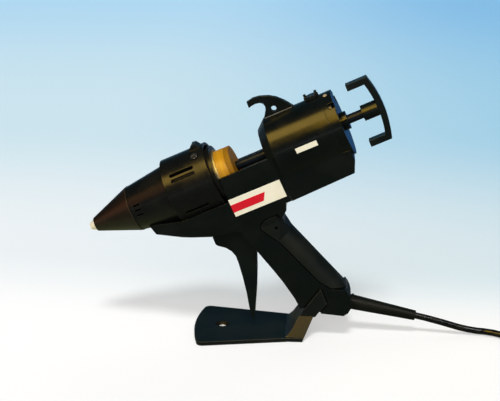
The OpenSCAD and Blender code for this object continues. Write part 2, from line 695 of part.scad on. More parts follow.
module rear_housing() color([0.1, 0.1, 0.1]) in_barrel() difference() {
    union() {
        difference() {
            turned([[s_taper, 0], [s_taper, taper_r], [s_cyl, rear_r], [s_cap, rear_r], [s_cap, 0]]);
            block([s_taper - 1, -far, -far], [s_cyl, far, bay_lip + free]);
        }
        // Front plate and keel
        difference() {
            side(-body_half, body_half) polygon([[s_rear, 2], [s_rear, -keel_depth],
                [keel_corner, -keel_depth + keel_rise], [keel_end, -rear_r - keel_gap],
                [keel_end, -18], [s_cap, -18], [s_cap, 2]]);
            along(s_cap, s_back, rear_r + keel_gap);
        }
    }
    difference() {
        turned([[s_taper + 3, 0], [s_taper + 3, taper_r - 2.5], [s_cyl, rear_in],
            [s_cap + 1, rear_in], [s_cap + 1, 0]]);
        block([s_taper, -far, -far], [s_cyl, far, 1]);
        // Pad for the dial and bosses for the cap screws
        block([s_dial - 8.5, -8.5, rear_in - 4], [s_dial + 8.5, 8.5, far]);
        cap_screw_place() block([s_cap - 12, -cap_boss_r, -cap_boss_r], [s_cap + 2, cap_boss_r, far]);
    }
    block([s_rear - 1, -body_half + shell_wall, -keel_depth + shell_wall + keel_rise],
        [s_cap - 3, body_half - shell_wall, -bay_r - shell_wall]);
    along(s_taper - 1, s_cyl + 1, rod_d / 2 + rod_gap, sides = 48);
    cap_screw_place() along(s_cap - 10, s_cap + 1, screw_d / 2 + fit, sides = 32);
    // Slot of the hook, seat and bore of the dial
    block([s_cyl + 1 - fit, -hook_t / 2 - fit, rear_r - 1.5 - fit],
        [s_cyl + 32 + fit, hook_t / 2 + fit, far]);
    translate([s_dial, 0, dial_seat]) cylinder(h = 10, d = dial_d + 2 * free);
    translate([s_dial, 0, rear_in - 6]) cylinder(h = 20, r = 3 + run, $fn = 48);
}

// Two screws in the rim of the cap
module cap_screw_place() for (a = [44, -44]) rotate([a, 0, 0])
    translate([0, 0, rear_r - 4.5]) children();

module rear_cap() color("black") in_barrel() difference() {
    union() {
        along(s_cap, s_back, rear_r);
        along(s_cap - 8, s_cap + 1, rear_in - fit);
    }
    along(s_cap - 9, s_back - 4, rear_in - 3);
    cap_screw_place() {
        along(s_cap - 9, s_back + 1, screw_d / 2 + fit, sides = 32);
        block([s_cap - 9, -cap_boss_r - fit, -cap_boss_r - fit], [s_cap, cap_boss_r + fit, far]);
        along(s_cap + 4.5, s_back + 1, cap_boss_r + 1, sides = 48);
    }
    // Clear of the dial pad
    block([s_cap - 9, -9, 0], [s_cap, 9, far]);
    along(s_back - 5, s_back + 1, gland_d / 2 - 2 + fit);
    rotate([14, 0, 0]) translate([s_cap + 4.5, 0, rear_in - 6])
        cylinder(h = 20, r = 2.4 + fit, $fn = 48);
}

module cap_screws() color("silver") in_barrel() cap_screw_place()
    translate([s_cap + 4.5, 0, 0]) rotate([0, 90, 0]) screw(screw_d, 13.5, 6.8, 2.6);

module rod_gland() color([0.15, 0.15, 0.15]) in_barrel() difference() {
    union() {
        along(s_back, s_gland, gland_d / 2);
        along(s_back - 4, s_back + 1, gland_d / 2 - 2);
    }
    along(s_back - 5, s_gland + 1, rod_d / 2 + run, sides = 64);
}

module hook() color("black") in_barrel() difference() {
    side(-hook_t / 2, hook_t / 2) translate([s_cyl, rear_r]) polygon(hook_pts);
    cross_pin([s_cyl + 13.7, rear_r + 5.4], hook_hole / 2, -hook_t, hook_t);
}

module dial() color([0.3, 0.3, 0.3]) in_barrel() translate([s_dial, 0, dial_seat + free]) {
    cylinder(h = dial_h, d = dial_d);
    block([-dial_d / 2 + 0.4, -1.6, dial_h - 1], [-dial_d / 2 + 2.8, 1.6, dial_h + 2.6]);
    block([dial_d / 2 - 2.8, -1.6, dial_h - 1], [dial_d / 2 - 0.4, 1.6, dial_h + 2.6]);
    translate([0, 0, -dial_seat - free + rear_in - 5]) cylinder(h = dial_seat - rear_in + 6, r = 3, $fn = 48);
}

module dial_pot() color("steelblue") in_barrel() difference() {
    block([s_dial - 6, -6, rear_in - 12.5], [s_dial + 6, 6, rear_in - 4]);
    translate([s_dial, 0, rear_in - 5 - free]) cylinder(h = 10, r = 3 + run, $fn = 48);
}

module control_board() color("seagreen") in_barrel()
    block([s_dial - 22, -16, rear_in - 14.1], [s_dial + 8, 16, rear_in - 12.5]);

module pilot_lamp() color("navajowhite") in_barrel() rotate([14, 0, 0])
    translate([s_cap + 4.5, 0, rear_in - 3]) {
        cylinder(h = rear_wall + 2.4, r = 2.4, $fn = 48);
        translate([0, 0, rear_wall + 2.4]) cylinder(h = 1.2, r1 = 2.4, r2 = 1.4, $fn = 48);
    }

// Plunger

module rod() color("dimgray") in_barrel() along(s_piston + rod_in, s_boss + rod_seat, rod_d / 2, sides = 64);

module piston() color("goldenrod") in_barrel() difference() {
    along(s_piston, s_piston + piston_t, piston_d / 2);
    along(s_piston + rod_in, s_piston + piston_t + 1, rod_d / 2 + fit, sides = 64);
}

module slug() color("orange") in_barrel() along(s_piston - slug_len, s_piston, slug_r);

module handle_boss() color([0.2, 0.2, 0.2]) in_barrel() difference() {
    intersection() {
        along(s_boss, s_handle + 2, boss_d / 2);
        cross_pin([s_handle - handle_arc, 0], handle_arc - handle_t, -far, far);
    }
    along(s_boss - 1, s_boss + rod_seat, rod_d / 2 + fit, sides = 64);
}

module pull_handle() color([0.2, 0.2, 0.2]) in_barrel() {
    difference() {
        translate([s_handle - handle_arc, 0, 0]) rotate([90, 0, 0])
            cylinder(h = handle_w, r = handle_arc, center = true, $fn = 256);
        translate([s_handle - handle_arc, 0, 0]) rotate([90, 0, 0])
            cylinder(h = handle_w + 1, r = handle_arc - handle_t, center = true, $fn = 256);
        block([-far, -far, handle_h / 2], [far, far, far]);
        block([-far, -far, -far], [far, far, -handle_h / 2]);
        block([-far, -far, -far], [s_handle - 20, far, far]);
    }
    for (m = [0, 1]) mirror([0, 0, m])
        block([s_handle - 3 - handle_arm, -handle_w / 2, handle_h / 2 - handle_t],
            [s_handle - 7, handle_w / 2, handle_h / 2]);
}

// Trigger and drive

module trigger() color([0.25, 0.25, 0.26]) difference() {
    union() {
        side(-trigger_w / 2, trigger_w / 2) translate(pivot) polygon(trigger_pts);
        cross_pin(pivot, 9, -trigger_w / 2, trigger_w / 2);
        in_barrel() side(-trigger_w / 2, trigger_w / 2) translate([pivot_s, -pivot_r])
            polygon([[-6, 0], [-4, lever_arm + 2], [-2, lever_arm + 4], [2, lever_arm + 4],
                [4, lever_arm + 2], [6, 0]]);
    }
    // Back of the blade is open
    side(-trigger_w / 2 + 3, trigger_w / 2 - 3) translate(pivot)
        polygon([[4, -34], [9, -46], [13, -64], [18, -86], [40, -86], [40, -34]]);
    // Fork round the drive bar
    in_barrel() block([pivot_s - 20, -bar_w / 2 - free, bar_low - fork_drop],
        [pivot_s + 20, bar_w / 2 + free, 0]);
    cross_pin(pivot, pivot_d / 2 + run, -far, far);
    cross_pin(W(pivot_s, -pivot_r + lever_arm), drive_pin_d / 2 + fit, -far, far);
}

module pivot_pin() color("silver") cross_pin(pivot, pivot_d / 2, -body_half + 3, body_half - 3);

module drive_pin() color("silver") cross_pin(W(pivot_s, -pivot_r + lever_arm), drive_pin_d / 2,
    -trigger_w / 2, trigger_w / 2);

module drive_bar() color("gray") in_barrel() difference() {
    block([pivot_s - bar_front, -bar_w / 2, bar_low], [s_jam + bar_tail, bar_w / 2, bar_top]);
    block([pivot_s - drive_pin_d / 2 - 0.2, -far, bar_low + 1.5],
        [pivot_s + drive_pin_d / 2 + 0.2, far, bar_top - 1.5]);
    block([s_jam - fit, -far, bar_top - bar_over], [s_jam + jam_t + fit, far, far]);
}

module jam_plate() color("dimgray") in_barrel() difference() {
    block([s_jam, -jam_half, bar_top - bar_over], [s_jam + jam_t, jam_half, jam_half + 1]);
    along(s_jam - 1, s_jam + jam_t + 1, rod_d / 2 + rod_gap, sides = 48);
}

module drive_spring() color("silver") in_barrel() translate([s_cyl + 0.1, 0, 0]) rotate([0, 90, 0])
    spring(rod_d / 2 + 2.5, 0.7, s_jam - s_cyl - 0.3, 9);

// Electrical pieces in the grip

module terminal_block() color("white") difference() {
    block([90, -cavity_w / 2, 44], [102, 3, 57]);
    for (z = [47.2, 53.8]) translate([96, -6.5, z]) rotate([0, 90, 0])
        cylinder(h = 20, d = 3.5, center = true, $fn = 24);
}

module cord_clamp() color("ivory") difference() {
    block([108, -cavity_w / 2, 31.2], [116, cavity_w / 2, 41.2]);
    relief_place() cylinder(h = 80, r = cord_r + fit, center = true, $fn = 48);
}

// Labels

module label_plate() color("cornsilk") in_barrel() block(
    [s_seam - label_back - label_len, -body_half - label_t, -bay_r - label_drop - label_h],
    [s_seam - label_back, -body_half, -bay_r - label_drop]);
// Colour band with a slanted end
module label_band() color("red") in_barrel() side(-body_half - 1.5 * label_t, -body_half - label_t)
    translate([s_seam - label_back - label_len, -bay_r - label_drop - label_h + band_low])
    polygon([[0, 0], [band_len, 0], [band_len + band_slant, band_h], [0, band_h]]);
module serial_plate() color("cornsilk") in_barrel() block(
    [s_cyl + serial_at, -rear_r - label_t, serial_top - serial_h],
    [s_cyl + serial_at + serial_len, -rear_r, serial_top]);

// Stand

module stand() color([0.14, 0.14, 0.15]) {
    difference() {
        linear_extrude(foot_t) polygon(foot_pts);
        translate([0, 0, -1]) cylinder(h = foot_t + 2, d = bench_hole, $fn = 48);
        translate([0, 0, foot_t - (bench_sink - bench_hole) / 2])
            cylinder(h = bench_sink, d1 = bench_hole, d2 = bench_hole + 2 * bench_sink, $fn = 48);
    }
    difference() {
        intersection() {
            side(-far, far) polygon(web_pts);
            rotate([90, 0, 90]) linear_extrude(far) polygon([[-foot_rear, 0], [foot_rear, 0],
                [grip_w / 2, web_top], [grip_w / 2, web_high],
                [-grip_w / 2, web_high], [-grip_w / 2, web_top]]);
        }
        // Open behind
        intersection() {
            side(-far, far) polygon(web_hollow_pts);
            rotate([90, 0, 90]) linear_extrude(far) polygon([
                [-foot_rear + foot_t, 0], [foot_rear - foot_t, 0],
                [grip_w / 2 - web_wall, web_top], [-grip_w / 2 + web_wall, web_top]]);
        }
        for (y = [-1, 1] * stand_screw_y) translate([stand_x, y, 0])
            cylinder(h = far, d = screw_d + 2 * fit, $fn = 32);
    }
    for (m = [0, 1]) mirror([0, m, 0])
        side(-grip_w / 2, -grip_w / 2 + ear_t) polygon(ear_pts);
}

module stand_screws() color("silver") for (y = [-1, 1] * stand_screw_y) translate([stand_x, y, web_top])
    rotate([180, 0, 0]) screw(screw_d, stand_screw_len, screw_head_d, screw_head_h - 0.2);

// Cord, coil and plug

module relief_place() translate([relief_root[0], 0, relief_root[1]])
    rotate([0, 90 + relief_tilt, 0]) children();

module strain_relief() color([0.1, 0.1, 0.1]) relief_place() difference() {
    union() {
        translate([0, 0, 1.2]) cylinder(h = relief_len - 1.2, d1 = relief_d, d2 = relief_tip_d);
        translate([0, 0, 0.6]) cylinder(h = 1.6, d = relief_d + 1.6);
        translate([0, 0, -9]) cylinder(h = 11, r = relief_root_r, $fn = 48);
    }
    translate([0, 0, -20]) cylinder(h = far, r = cord_r + fit, $fn = 48);
}

module cord() color([0.08, 0.08, 0.08])
    tube(concat(cord_route, swing_pts), cord_r, 10, [heading(cord_route, 0), [1, 0, 0]]);

module cord_coil() color([0.08, 0.08, 0.08])
    tube(coil_pts, cord_r, 6, [[1, 0, 0], [cos(plug_turn), sin(plug_turn), 0]]);

module coil_tie() color("dimgray") translate([coil_x, 0, 0]) difference() {
    block([-5, coil_least - tie_far, 0], [5, coil_rad(0.5) + tie_far, plug_z + tie_far]);
    block([-6, coil_least - tie_far + tie_t, tie_t],
        [6, coil_rad(0.5) + tie_far - tie_t, plug_z + tie_far - tie_t]);
}

module plug_place() translate([coil_end[0], coil_end[1], 0]) rotate([0, 0, plug_turn])
    translate([plug_at, 0, 0]) children();

module plug_body() color([0.1, 0.1, 0.1]) plug_place() difference() {
    union() {
        linear_extrude(22) polygon([[4, -9], [14, -25], [46, -25], [50, -21], [50, 21], [46, 25],
            [14, 25], [4, 9]]);
        translate([0, 0, plug_z]) rotate([0, 90, 0]) cylinder(h = 10, r = cord_r + 2.5, $fn = 48);
    }
    translate([-1, 0, plug_z]) rotate([0, 90, 0]) cylinder(h = 12, r = cord_r + fit, $fn = 48);
    for (p = [[37, 0, 4, 2], [16, -11.1, 2, 3.2], [16, 11.1, 2, 3.2]])
        translate([p[0], p[1], 16]) block([-p[2], -p[3], 0], [p[2], p[3], 10]);
    block([22, -6, 20.5], [30, 6, 30]);
}

module plug_pins() color("gold") plug_place() {
    block([33, -2, 16], [41, 2, 44.7]);
    for (y = [-11.1, 11.1]) block([14, y - 3.2, 16], [18, y + 3.2, 39.7]);
}

module plug_fuse_cover() color("firebrick") plug_place()
    block([22.1, -5.9, 20.5], [29.9, 5.9, 22.3]);

nozzle();
valve_ball();
valve_spring();
nose_cone();
guard_cone();
collar();
collar_screws();
melt_chamber();
heater_near();
heater_far();
thermostat();
thermal_fuse();
inlet_flange();
inlet_ring();
body_near();
body_far();
panel_near();
panel_far();
body_screws();
rear_housing();
rear_cap();
cap_screws();
rod_gland();
hook();
dial();
dial_pot();
control_board();
pilot_lamp();
rod();
piston();
slug();
handle_boss();
pull_handle();
trigger();
pivot_pin();
drive_pin();
drive_bar();
jam_plate();
drive_spring();
terminal_block();
cord_clamp();
label_plate();
label_band();
serial_plate();
stand();
stand_screws();
strain_relief();
cord();
cord_coil();
coil_tie();
plug_body();
plug_pins();
plug_fuse_cover();
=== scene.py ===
# %% [markdown]
# # Hot glue applicator on its bench stand
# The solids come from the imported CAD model, already in place and in metres. This script dresses
# them: it finds the photograph's camera, gives every piece a material built from nodes, lays the
# mains lead, and sets up a small studio. A few pieces are modelled again here with more detail
# than their solids have.

# %% Load the frame
import json
import math
import bmesh
import bpy
from mathutils import Matrix, Vector


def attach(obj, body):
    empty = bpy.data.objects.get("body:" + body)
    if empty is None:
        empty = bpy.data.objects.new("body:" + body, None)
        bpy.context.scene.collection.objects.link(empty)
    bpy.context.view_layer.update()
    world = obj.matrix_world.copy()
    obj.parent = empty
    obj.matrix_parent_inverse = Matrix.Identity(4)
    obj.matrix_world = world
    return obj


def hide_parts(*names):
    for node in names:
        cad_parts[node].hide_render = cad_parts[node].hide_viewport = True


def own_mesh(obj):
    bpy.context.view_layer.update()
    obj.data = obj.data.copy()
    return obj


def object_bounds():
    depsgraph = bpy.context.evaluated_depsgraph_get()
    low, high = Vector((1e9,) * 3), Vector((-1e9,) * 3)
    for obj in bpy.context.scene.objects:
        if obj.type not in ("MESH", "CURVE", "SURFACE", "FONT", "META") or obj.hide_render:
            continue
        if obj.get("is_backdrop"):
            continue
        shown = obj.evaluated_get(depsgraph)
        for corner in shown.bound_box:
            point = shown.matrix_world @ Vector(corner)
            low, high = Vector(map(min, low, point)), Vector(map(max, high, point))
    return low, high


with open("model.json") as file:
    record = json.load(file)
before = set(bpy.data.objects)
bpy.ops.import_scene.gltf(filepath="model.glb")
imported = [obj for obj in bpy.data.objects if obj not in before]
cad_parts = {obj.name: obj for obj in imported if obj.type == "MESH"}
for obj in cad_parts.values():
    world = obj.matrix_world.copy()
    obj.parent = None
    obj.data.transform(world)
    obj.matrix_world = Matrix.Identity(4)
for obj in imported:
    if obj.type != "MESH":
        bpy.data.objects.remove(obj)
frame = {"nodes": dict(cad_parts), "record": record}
nodes = frame["nodes"]
cad_box = [list(corner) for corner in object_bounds()]
scene = bpy.context.scene

# %% [markdown]
# ## Camera
# The photograph looks at the near side from a little above and a little to the right of square.
# A long lens keeps the barrel's lines nearly parallel. The camera is placed by angles round a
# target point, because angles are what one can judge from a photograph.

# %% Camera
target = Vector((0.028, 0.0, 0.1365))
azimuth, elevation, distance = math.radians(4.0), math.radians(18.0), 1.1
back = Vector((
    math.sin(azimuth) * math.cos(elevation),
    -math.cos(azimuth) * math.cos(elevation),
    math.sin(elevation),
))
camera_data = bpy.data.cameras.new("camera")
camera_data.sensor_fit = "HORIZONTAL"
camera_data.sensor_width = 36.0
camera_data.lens = 80.8
camera = bpy.data.objects.new("camera", camera_data)
camera.location = target + distance * back
camera.rotation_euler = (-back).to_track_quat("-Z", "Y").to_euler()
scene.collection.objects.link(camera)
scene.camera = camera
scene.view_settings.view_transform = "Standard"
print("camera at", [round(v, 3) for v in camera.location])

# %% [markdown]
# ## Helpers for node trees
# A node tree is easier to read in code if each node is one call and each link one line. `add`
# makes a node and sets its values, and `join` links an output to an input. `feed` is for a socket
# that may take either: it sets a plain number or colour, and links anything else. `new_group`
# starts a group with named sockets. All four serve shader trees and geometry trees.

# %% Node helpers
def add(tree, kind, **values):
    made = tree.nodes.new(kind)
    for name, value in values.items():
        setattr(made, name, value)
    return made


def join(tree, source, target_socket):
    tree.links.new(source, target_socket)


def feed(tree, value, socket):
    if isinstance(value, tuple):
        socket.default_value = (*value, 1.0)
    elif isinstance(value, float):
        socket.default_value = value
    else:
        join(tree, value, socket)


def new_group(name, kind, inputs, outputs):
    group = bpy.data.node_groups.new(name, kind)
    for way, sockets in (("INPUT", inputs), ("OUTPUT", outputs)):
        for label, socket in sockets.items():
            group.interface.new_socket(label, in_out=way, socket_type="NodeSocket" + socket)
    return group, add(group, "NodeGroupInput"), add(group, "NodeGroupOutput")


print("helpers ready")

# %% [markdown]
# ## Grain, soft edges and scuffs
# Three effects are shared by nearly every finish. Grain is the fine pebble of a moulded surface.
# Soft edge rounds the shading at corners, as every moulded or bent part has a small radius there,
# and puts out a mask of those corners. Scuffs are slow changes in gloss from handling. Each could
# be built again in every material, but as a node group it is built once and placed with its own
# values.

# %% Grain group
def calc(tree, operation, first, second):
    made = add(tree, "ShaderNodeMath", operation=operation)
    feed(tree, first, made.inputs[0])
    feed(tree, second, made.inputs[1])
    return made.outputs[0]


def grain_group():
    group, entry, leave = new_group("moulded_grain", "ShaderNodeTree",
                                    {"Size": "Float"}, {"Height": "Float"})
    place = add(group, "ShaderNodeTexCoord")
    pebble = add(group, "ShaderNodeTexVoronoi", feature="SMOOTH_F1")
    join(group, place.outputs["Object"], pebble.inputs["Vector"])
    join(group, entry.outputs["Size"], pebble.inputs["Scale"])
    haze = add(group, "ShaderNodeTexNoise")
    haze.inputs["Detail"].default_value = 3.0
    join(group, place.outputs["Object"], haze.inputs["Vector"])
    coarser = calc(group, "MULTIPLY", entry.outputs["Size"], 0.4)
    join(group, coarser, haze.inputs["Scale"])
    both = calc(group, "ADD", pebble.outputs["Distance"], haze.outputs["Fac"])
    join(group, both, leave.inputs["Height"])
    return group


grain = grain_group()
print("group:", grain.name)

# %% Soft edge group
def remap(tree, value, start, stop, low=0.0, high=1.0, curve="SMOOTHSTEP"):
    """Stretch the range from start to stop onto the range from low to high."""
    made = add(tree, "ShaderNodeMapRange", interpolation_type=curve)
    made.inputs["From Min"].default_value = start
    made.inputs["From Max"].default_value = stop
    made.inputs["To Min"].default_value = low
    made.inputs["To Max"].default_value = high
    join(tree, value, made.inputs["Value"])
    return made.outputs["Result"]


def soft_edge_group():
    group, entry, leave = new_group("soft_edge", "ShaderNodeTree",
                                    {"Radius": "Float"}, {"Normal": "Vector", "Edge": "Float"})
    rounded = add(group, "ShaderNodeBevel", samples=6)
    join(group, entry.outputs["Radius"], rounded.inputs["Radius"])
    flat = add(group, "ShaderNodeNewGeometry")
    turn = add(group, "ShaderNodeVectorMath", operation="DOT_PRODUCT")
    join(group, rounded.outputs["Normal"], turn.inputs[0])
    join(group, flat.outputs["Normal"], turn.inputs[1])
    edge = remap(group, turn.outputs["Value"], start=0.995, stop=0.8)
    join(group, rounded.outputs["Normal"], leave.inputs["Normal"])
    join(group, edge, leave.inputs["Edge"])
    return group


soft_edge = soft_edge_group()
print("group:", soft_edge.name)

# %% Scuff group
def scuff_group():
    group, entry, leave = new_group("handling_scuffs", "ShaderNodeTree",
                                    {"Size": "Float"}, {"Mask": "Float"})
    place = add(group, "ShaderNodeTexCoord")
    cloud = add(group, "ShaderNodeTexNoise")
    cloud.inputs["Detail"].default_value = 6.0
    cloud.inputs["Roughness"].default_value = 0.62
    join(group, place.outputs["Object"], cloud.inputs["Vector"])
    join(group, entry.outputs["Size"], cloud.inputs["Scale"])
    mask = remap(group, cloud.outputs["Fac"], start=0.38, stop=0.7)
    join(group, mask, leave.inputs["Mask"])
    return group


scuffs = scuff_group()
print("group:", scuffs.name)

# %% [markdown]
# ## One recipe for hard finishes
# Moulded plastic, enamel and plated steel differ in colour, gloss, grain and what shows at a
# corner. One function takes those as values and builds the same short tree for each: scuffs mix
# two colours and two roughnesses, the edge mask lightens corners, partly as wear and partly as a
# painted highlight along the edge, and grain goes to a bump.

# %% Start of a material
def bare_material(name):
    material = bpy.data.materials.new(name)
    material.use_nodes = True
    tree = material.node_tree
    tree.nodes.clear()
    return material, tree, add(tree, "ShaderNodeOutputMaterial")


def new_material(name):
    material, tree, out = bare_material(name)
    shader = add(tree, "ShaderNodeBsdfPrincipled")
    join(tree, shader.outputs["BSDF"], out.inputs["Surface"])
    return material, tree, shader


def use_group(tree, group, **values):
    made = add(tree, "ShaderNodeGroup", node_tree=group)
    for name, value in values.items():
        made.inputs[name].default_value = value
    return made


def blend_colours(tree, mask, first, second):
    made = add(tree, "ShaderNodeMix", data_type="RGBA")
    join(tree, mask, made.inputs[0])
    feed(tree, first, made.inputs[6])
    feed(tree, second, made.inputs[7])
    return made.outputs[2]


print("material helpers ready")

# %% Hard finish
def hard_finish(name, colour, worn, edge_colour, gloss, metal=0.0, specular=0.35,
                grain_size=900.0, grain_depth=0.00002, edge_radius=0.0006, scuff_size=30.0):
    material, tree, shader = new_material(name)
    mask = use_group(tree, scuffs, Size=scuff_size).outputs["Mask"]
    corner = use_group(tree, soft_edge, Radius=edge_radius)
    body_colour = blend_colours(tree, mask, colour, worn)
    # Lighter corners: partly worn edges, partly a painted highlight along them
    edged = blend_colours(tree, corner.outputs["Edge"], body_colour, edge_colour)
    join(tree, edged, shader.inputs["Base Color"])
    rough = remap(tree, mask, 0.0, 1.0, low=gloss[0], high=gloss[1], curve="LINEAR")
    join(tree, rough, shader.inputs["Roughness"])
    bump = add(tree, "ShaderNodeBump")
    bump.inputs["Strength"].default_value = 0.6
    bump.inputs["Distance"].default_value = grain_depth
    pebbles = use_group(tree, grain, Size=grain_size)
    join(tree, pebbles.outputs["Height"], bump.inputs["Height"])
    join(tree, corner.outputs["Normal"], bump.inputs["Normal"])
    join(tree, bump.outputs["Normal"], shader.inputs["Normal"])
    shader.inputs["Metallic"].default_value = metal
    shader.inputs["Specular IOR Level"].default_value = specular
    return material


finishes = {}


def slot_finish(name, *colours, **values):
    """Hard finish that is kept under the name of its material slot."""
    finishes[name] = hard_finish(name, *colours, **values)


print("recipe ready")

# %% [markdown]
# ## The finishes
# The colours are, in order, the clean surface, where it is worn, and its corners. Gloss is the
# roughness of the first two. Black plastic has almost no colour of its own, so its character
# comes from gloss: the body is smooth, the palm panels are dull and pebbled, and the trigger lies
# between them.

# %% Finishes of the plastics
slot_finish("body_plastic", (0.0022, 0.0038, 0.0036), (0.004, 0.0054, 0.0048),
            (0.011, 0.012, 0.0105), gloss=(0.19, 0.27), specular=0.22)
slot_finish("grip_plastic", (0.0036, 0.0062, 0.0054), (0.006, 0.0086, 0.0074),
            (0.013, 0.0135, 0.0115), gloss=(0.46, 0.6), specular=0.16, grain_size=620.0,
            grain_depth=0.00005)
slot_finish("trigger_plastic", (0.0016, 0.0042, 0.0042), (0.003, 0.0056, 0.0056),
            (0.012, 0.0125, 0.0115), gloss=(0.28, 0.38), specular=0.22)
slot_finish("piston_polymer", (0.27, 0.12, 0.004), (0.2, 0.085, 0.003), (0.34, 0.17, 0.015),
            gloss=(0.5, 0.62), specular=0.12, grain_size=700.0)
slot_finish("pale_plastic", (0.76, 0.73, 0.66), (0.68, 0.64, 0.55), (0.82, 0.8, 0.74),
            gloss=(0.42, 0.55))
slot_finish("pot_plastic", (0.1, 0.18, 0.42), (0.08, 0.14, 0.34), (0.2, 0.3, 0.55),
            gloss=(0.4, 0.55))
slot_finish("board", (0.02, 0.16, 0.07), (0.015, 0.12, 0.05), (0.2, 0.2, 0.08),
            gloss=(0.3, 0.42), grain_size=300.0)
slot_finish("lamp_lens", (0.34, 0.26, 0.17), (0.28, 0.2, 0.12), (0.5, 0.42, 0.3),
            gloss=(0.12, 0.22), specular=0.5)
slot_finish("cord_rubber", (0.0046, 0.0056, 0.0046), (0.008, 0.0088, 0.007),
            (0.014, 0.014, 0.014), gloss=(0.42, 0.55), specular=0.1, grain_size=1100.0)
slot_finish("plug_plastic", (0.008, 0.008, 0.0085), (0.013, 0.013, 0.013), (0.03, 0.03, 0.03),
            gloss=(0.32, 0.45))
slot_finish("fuse_cover", (0.4, 0.03, 0.02), (0.3, 0.025, 0.018), (0.5, 0.08, 0.06),
            gloss=(0.35, 0.48))
print("plastics:", len(finishes))

# %% Finishes of the metals and labels
slot_finish("black_steel", (0.0034, 0.0042, 0.004), (0.0062, 0.0062, 0.0054),
            (0.02, 0.018, 0.014), gloss=(0.24, 0.36), specular=0.2, grain_size=420.0,
            grain_depth=0.00003)
slot_finish("bright_steel", (0.55, 0.55, 0.55), (0.42, 0.42, 0.43), (0.7, 0.7, 0.7),
            gloss=(0.16, 0.3), metal=1.0, specular=0.5, grain_size=1500.0, grain_depth=0.000006)
slot_finish("dark_steel", (0.005, 0.0075, 0.01), (0.009, 0.012, 0.015), (0.05, 0.055, 0.06),
            gloss=(0.22, 0.32), specular=0.08, grain_size=1500.0, grain_depth=0.000006)
slot_finish("brass", (0.97, 0.89, 0.68), (0.88, 0.75, 0.5), (0.98, 0.93, 0.78),
            gloss=(0.24, 0.42), metal=0.25, specular=0.5, grain_size=1400.0)
slot_finish("cast_aluminium", (0.5, 0.5, 0.5), (0.36, 0.35, 0.33), (0.7, 0.7, 0.7),
            gloss=(0.38, 0.55), metal=1.0, specular=0.5, grain_size=480.0, grain_depth=0.00006)
slot_finish("label_ground", (0.83, 0.775, 0.6), (0.78, 0.71, 0.52), (0.88, 0.84, 0.7),
            gloss=(0.34, 0.48), edge_radius=0.0002, grain_size=1200.0, grain_depth=0.00001)
slot_finish("label_red", (0.62, 0.003, 0.016), (0.52, 0.003, 0.012), (0.7, 0.03, 0.04),
            gloss=(0.34, 0.48), specular=0.25, edge_radius=0.0001, grain_size=1200.0,
            grain_depth=0.00001)
print("hard finishes:", len(finishes))

# %% [markdown]
# ## Glue
# The slug is a cast resin: amber, a little cloudy, with faint rings where it was drawn from its
# mould. Light enters it, so it gets some subsurface scattering, and a wave along the barrel gives
# the rings.

# %% Glue material
barrel_tilt = math.radians(24.3)


def glue_finish():
    material, tree, shader = new_material("glue")
    place = add(tree, "ShaderNodeTexCoord")
    turned = add(tree, "ShaderNodeMapping", vector_type="POINT")
    turned.inputs["Rotation"].default_value = (0.0, barrel_tilt, 0.0)
    join(tree, place.outputs["Object"], turned.inputs["Vector"])
    rings = add(tree, "ShaderNodeTexWave", wave_type="BANDS", bands_direction="X")
    rings.inputs["Scale"].default_value = 55.0
    rings.inputs["Distortion"].default_value = 1.6
    rings.inputs["Detail"].default_value = 3.0
    join(tree, turned.outputs["Vector"], rings.inputs["Vector"])
    cloud = add(tree, "ShaderNodeTexNoise")
    cloud.inputs["Scale"].default_value = 70.0
    cloud.inputs["Detail"].default_value = 5.0
    join(tree, turned.outputs["Vector"], cloud.inputs["Vector"])
    amount = calc(tree, "MULTIPLY", rings.outputs["Fac"], cloud.outputs["Fac"])
    colour = blend_colours(tree, amount, (0.5, 0.235, 0.005), (0.38, 0.15, 0.003))
    join(tree, colour, shader.inputs["Base Color"])
    shader.inputs["Subsurface Weight"].default_value = 0.25
    shader.inputs["Subsurface Radius"].default_value = (0.006, 0.003, 0.0008)
    shader.inputs["Subsurface Scale"].default_value = 1.0
    shader.inputs["Roughness"].default_value = 0.36
    shader.inputs["Specular IOR Level"].default_value = 0.3
    bump = add(tree, "ShaderNodeBump")
    bump.inputs["Strength"].default_value = 0.3
    bump.inputs["Distance"].default_value = 0.0002
    join(tree, amount, bump.inputs["Height"])
    join(tree, bump.outputs["Normal"], shader.inputs["Normal"])
    return material


finishes["glue"] = glue_finish()
print("finishes:", len(finishes))

# %% [markdown]
# ## Stand
# The stand is bent steel with a rougher paint than the rest. Its corners are painted lighter,
# partly as worn paint and partly as a painted highlight line. Round the bench hole a dark ring is
# painted in as shade and made dull, and inside the hole the wall is painted pale as a highlight.
# Distance from the hole's centre, which is the frame's own origin, gives both as masks, so the
# rings stay round from any side. The recipe's own tree is kept, and the masks are laid over
# what it gives.

# %% Stand material
def round_mask(tree, reach, soft):
    place = add(tree, "ShaderNodeTexCoord")
    flat = add(tree, "ShaderNodeVectorMath", operation="MULTIPLY")
    flat.inputs[1].default_value = (1.0, 1.0, 0.0)
    join(tree, place.outputs["Object"], flat.inputs[0])
    away = add(tree, "ShaderNodeVectorMath", operation="LENGTH")
    join(tree, flat.outputs["Vector"], away.inputs[0])
    return remap(tree, away.outputs["Value"], start=reach + soft, stop=reach - soft)


